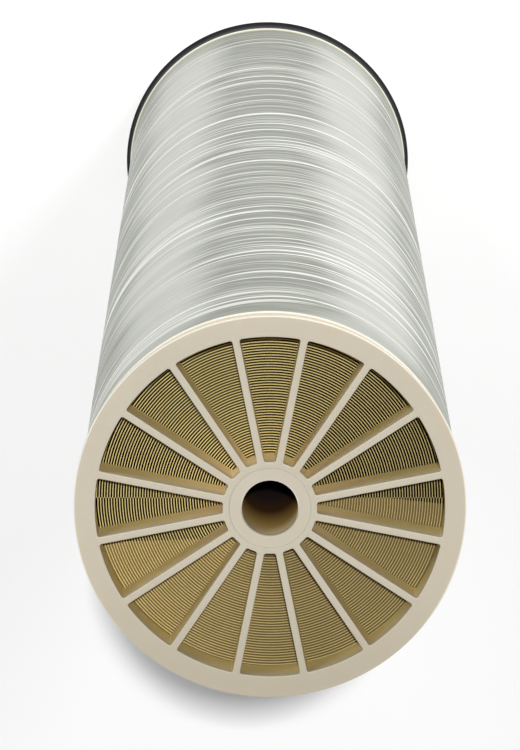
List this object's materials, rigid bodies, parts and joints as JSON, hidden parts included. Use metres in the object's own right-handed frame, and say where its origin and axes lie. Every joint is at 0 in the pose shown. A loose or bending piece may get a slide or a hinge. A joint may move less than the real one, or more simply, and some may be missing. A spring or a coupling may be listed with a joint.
{
  "type": "reverse osmosis membrane element",
  "caption": "Spiral-wound reverse osmosis element: a membrane roll on a bored tube, in a glass-wrapped barrel with spoked end caps and a brine seal.",
  "frame": {"origin": "centre of the feed end's outer face, on which the element stands", "axes": "+Z along the element from the feed end to the outlet end; +X and +Y through the middles of two windows"},
  "size_m": [0.2048, 0.2048, 1.016],
  "materials": {
    "tube_plastic": "smooth extruded and machined",
    "membrane_leaf": "cut edges of film and net, dull",
    "binding_film": "thin film",
    "cap_plastic": "moulded, satin, ivory",
    "glass_resin": "wound glass in clear resin, satin to glossy",
    "seal_rubber": "black, smooth"
  },
  "bodies": {
    "root": {"permeate_tube": "tube_plastic", "membrane_roll": "membrane_leaf", "binding_tape": "binding_film", "feed_end_cap": "cap_plastic", "outlet_end_cap": "cap_plastic", "glass_wrap": "glass_resin", "brine_seal": "seal_rubber"}
  },
  "joints": []
}
